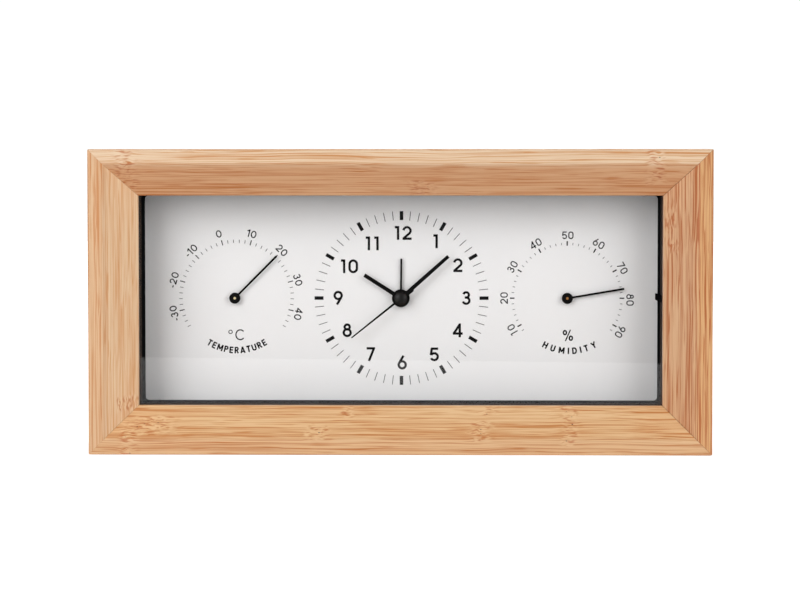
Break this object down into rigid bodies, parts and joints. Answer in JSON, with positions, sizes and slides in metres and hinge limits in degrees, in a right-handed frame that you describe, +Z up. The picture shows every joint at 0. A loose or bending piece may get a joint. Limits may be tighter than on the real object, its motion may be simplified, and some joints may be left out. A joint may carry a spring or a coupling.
{
  "type": "thermometer hygrometer clock",
  "caption": "Free-standing bamboo frame with a glazed dial panel that holds a thermometer, an alarm clock and a hygrometer side by side",
  "frame": {"origin": "under the middle of the frame, on the surface that it stands on", "axes": "+X to the right as seen from the front, +Y to the back, +Z up"},
  "size_m": [0.255, 0.054, 0.125],
  "materials": {
    "bamboo": "oiled bamboo, satin",
    "glass": "clear flat glass",
    "gasket_foam": "black foam strip",
    "case_black": "black moulded plastic",
    "panel_black": "black painted fibreboard",
    "dial_white": "matte white sheet with black print",
    "hand_black": "matte black",
    "switch_white": "white moulded plastic",
    "gear_ivory": "ivory moulded plastic",
    "magnet_grey": "sintered magnet",
    "steel": "plain steel",
    "brass": "bright brass",
    "copper": "enamelled copper wire",
    "board_green": "green circuit board",
    "battery_wrap": "plain dark wrapper"
  },
  "bodies": {
    "root": {"bottom_rail": "bamboo", "top_rail": "bamboo", "left_rail": "bamboo", "right_rail": "bamboo", "corner_splines": "bamboo", "glass_pane": "glass", "glass_gasket": "gasket_foam", "front_spacers": "case_black", "rear_spacers": "case_black", "dial_board": "case_black", "dial_plate": "dial_white", "back_panel": "panel_black", "panel_screws": "steel", "movement_front_plate": "case_black", "movement_middle_plate": "case_black", "movement_back_shell": "case_black", "movement_screws": "steel", "movement_mounting_screws": "steel", "stator": "steel", "coil_core": "steel", "coil_bobbin": "case_black", "coil_winding": "copper", "circuit_board": "board_green", "chip_blob": "case_black", "quartz_crystal": "steel", "buzzer": "case_black", "alarm_contact_spring": "brass", "battery": "battery_wrap", "battery_contact_positive": "steel", "battery_contact_negative": "steel", "thermometer_cup": "case_black", "thermometer_coil": "brass", "thermometer_bridge": "steel", "hygrometer_cup": "case_black", "hygrometer_coil": "brass", "hygrometer_bridge": "steel", "bridge_screws": "steel", "instrument_screws": "steel"},
    "second_hand_arbor": {"second_wheel": "gear_ivory", "second_hand": "hand_black", "second_hand_cap": "hand_black"},
    "third_wheel": {"third_wheel": "gear_ivory"},
    "centre_wheel": {"centre_wheel": "gear_ivory"},
    "intermediate_wheel": {"intermediate_wheel": "gear_ivory"},
    "rotor": {"rotor": "magnet_grey"},
    "minute_hand_tube": {"minute_cannon": "gear_ivory", "minute_hand": "hand_black"},
    "minute_wheel": {"minute_wheel": "gear_ivory"},
    "hour_hand_tube": {"hour_wheel": "gear_ivory", "hour_hand": "hand_black"},
    "time_set_knob": {"time_set_knob": "case_black"},
    "alarm_hand_tube": {"alarm_wheel": "gear_ivory", "alarm_hand": "hand_black"},
    "alarm_set_knob": {"alarm_set_knob": "case_black"},
    "alarm_switch": {"alarm_switch": "switch_white"},
    "thermometer_pointer": {"thermometer_arbor": "brass", "thermometer_pointer": "hand_black"},
    "hygrometer_pointer": {"hygrometer_arbor": "brass", "hygrometer_pointer": "hand_black"}
  },
  "joints": [
    {"name": "second_hand_turn", "type": "hinge", "parent": "root", "child": "second_hand_arbor", "pos_m": [0, 0.01, 0.0625], "axis": [0, 1, 0], "continuous": true},
    {"name": "third_wheel_turn", "type": "hinge", "parent": "root", "child": "third_wheel", "pos_m": [0.00781, 0.01, 0.06906], "axis": [0, 1, 0], "continuous": true},
    {"name": "centre_wheel_turn", "type": "hinge", "parent": "root", "child": "centre_wheel", "pos_m": [0, 0.01, 0.0625], "axis": [0, 1, 0], "continuous": true},
    {"name": "intermediate_wheel_turn", "type": "hinge", "parent": "root", "child": "intermediate_wheel", "pos_m": [-0.00585, 0.01, 0.07086], "axis": [0, 1, 0], "continuous": true},
    {"name": "rotor_turn", "type": "hinge", "parent": "root", "child": "rotor", "pos_m": [-0.00225, 0.01, 0.07709], "axis": [0, 1, 0], "continuous": true},
    {"name": "minute_hand_turn", "type": "hinge", "parent": "root", "child": "minute_hand_tube", "pos_m": [0, 0.01, 0.0625], "axis": [0, 1, 0], "continuous": true},
    {"name": "minute_wheel_turn", "type": "hinge", "parent": "root", "child": "minute_wheel", "pos_m": [-0.0084, 0.01, 0.0625], "axis": [0, 1, 0], "continuous": true},
    {"name": "hour_hand_turn", "type": "hinge", "parent": "root", "child": "hour_hand_tube", "pos_m": [0, 0.01, 0.0625], "axis": [0, 1, 0], "continuous": true},
    {"name": "time_set_knob_turn", "type": "hinge", "parent": "root", "child": "time_set_knob", "pos_m": [-0.01568, 0.01, 0.0667], "axis": [0, 1, 0], "continuous": true},
    {"name": "alarm_hand_turn", "type": "hinge", "parent": "root", "child": "alarm_hand_tube", "pos_m": [0, 0.01, 0.0625], "axis": [0, 1, 0], "continuous": true},
    {"name": "alarm_set_knob_turn", "type": "hinge", "parent": "root", "child": "alarm_set_knob", "pos_m": [0.00881, 0.01, 0.05633], "axis": [0, 1, 0], "continuous": true},
    {"name": "alarm_switch_slide", "type": "slide", "parent": "root", "child": "alarm_switch", "axis": [1, 0, 0], "range_m": [0, 0.003]},
    {"name": "thermometer_pointer_turn", "type": "hinge", "parent": "root", "child": "thermometer_pointer", "pos_m": [-0.0702, 0.01, 0.0625], "axis": [0, 1, 0], "range_deg": [-166, 77], "stiffness_Nm_per_rad": 0.0002},
    {"name": "hygrometer_pointer_turn", "type": "hinge", "parent": "root", "child": "hygrometer_pointer", "pos_m": [0.0702, 0.01, 0.0625], "axis": [0, 1, 0], "range_deg": [-207, 46], "stiffness_Nm_per_rad": 0.0002}
  ],
  "couplings": [
    {"joint": "third_wheel_turn", "follows": "second_hand_turn", "ratio": -0.125},
    {"joint": "centre_wheel_turn", "follows": "second_hand_turn", "ratio": 0.016667},
    {"joint": "intermediate_wheel_turn", "follows": "second_hand_turn", "ratio": -6},
    {"joint": "rotor_turn", "follows": "second_hand_turn", "ratio": 30},
    {"joint": "minute_wheel_turn", "follows": "minute_hand_turn", "ratio": -0.33333},
    {"joint": "hour_hand_turn", "follows": "minute_hand_turn", "ratio": 0.083333},
    {"joint": "time_set_knob_turn", "follows": "minute_hand_turn", "ratio": 1},
    {"joint": "alarm_set_knob_turn", "follows": "alarm_hand_turn", "ratio": -4.3333}
  ]
}
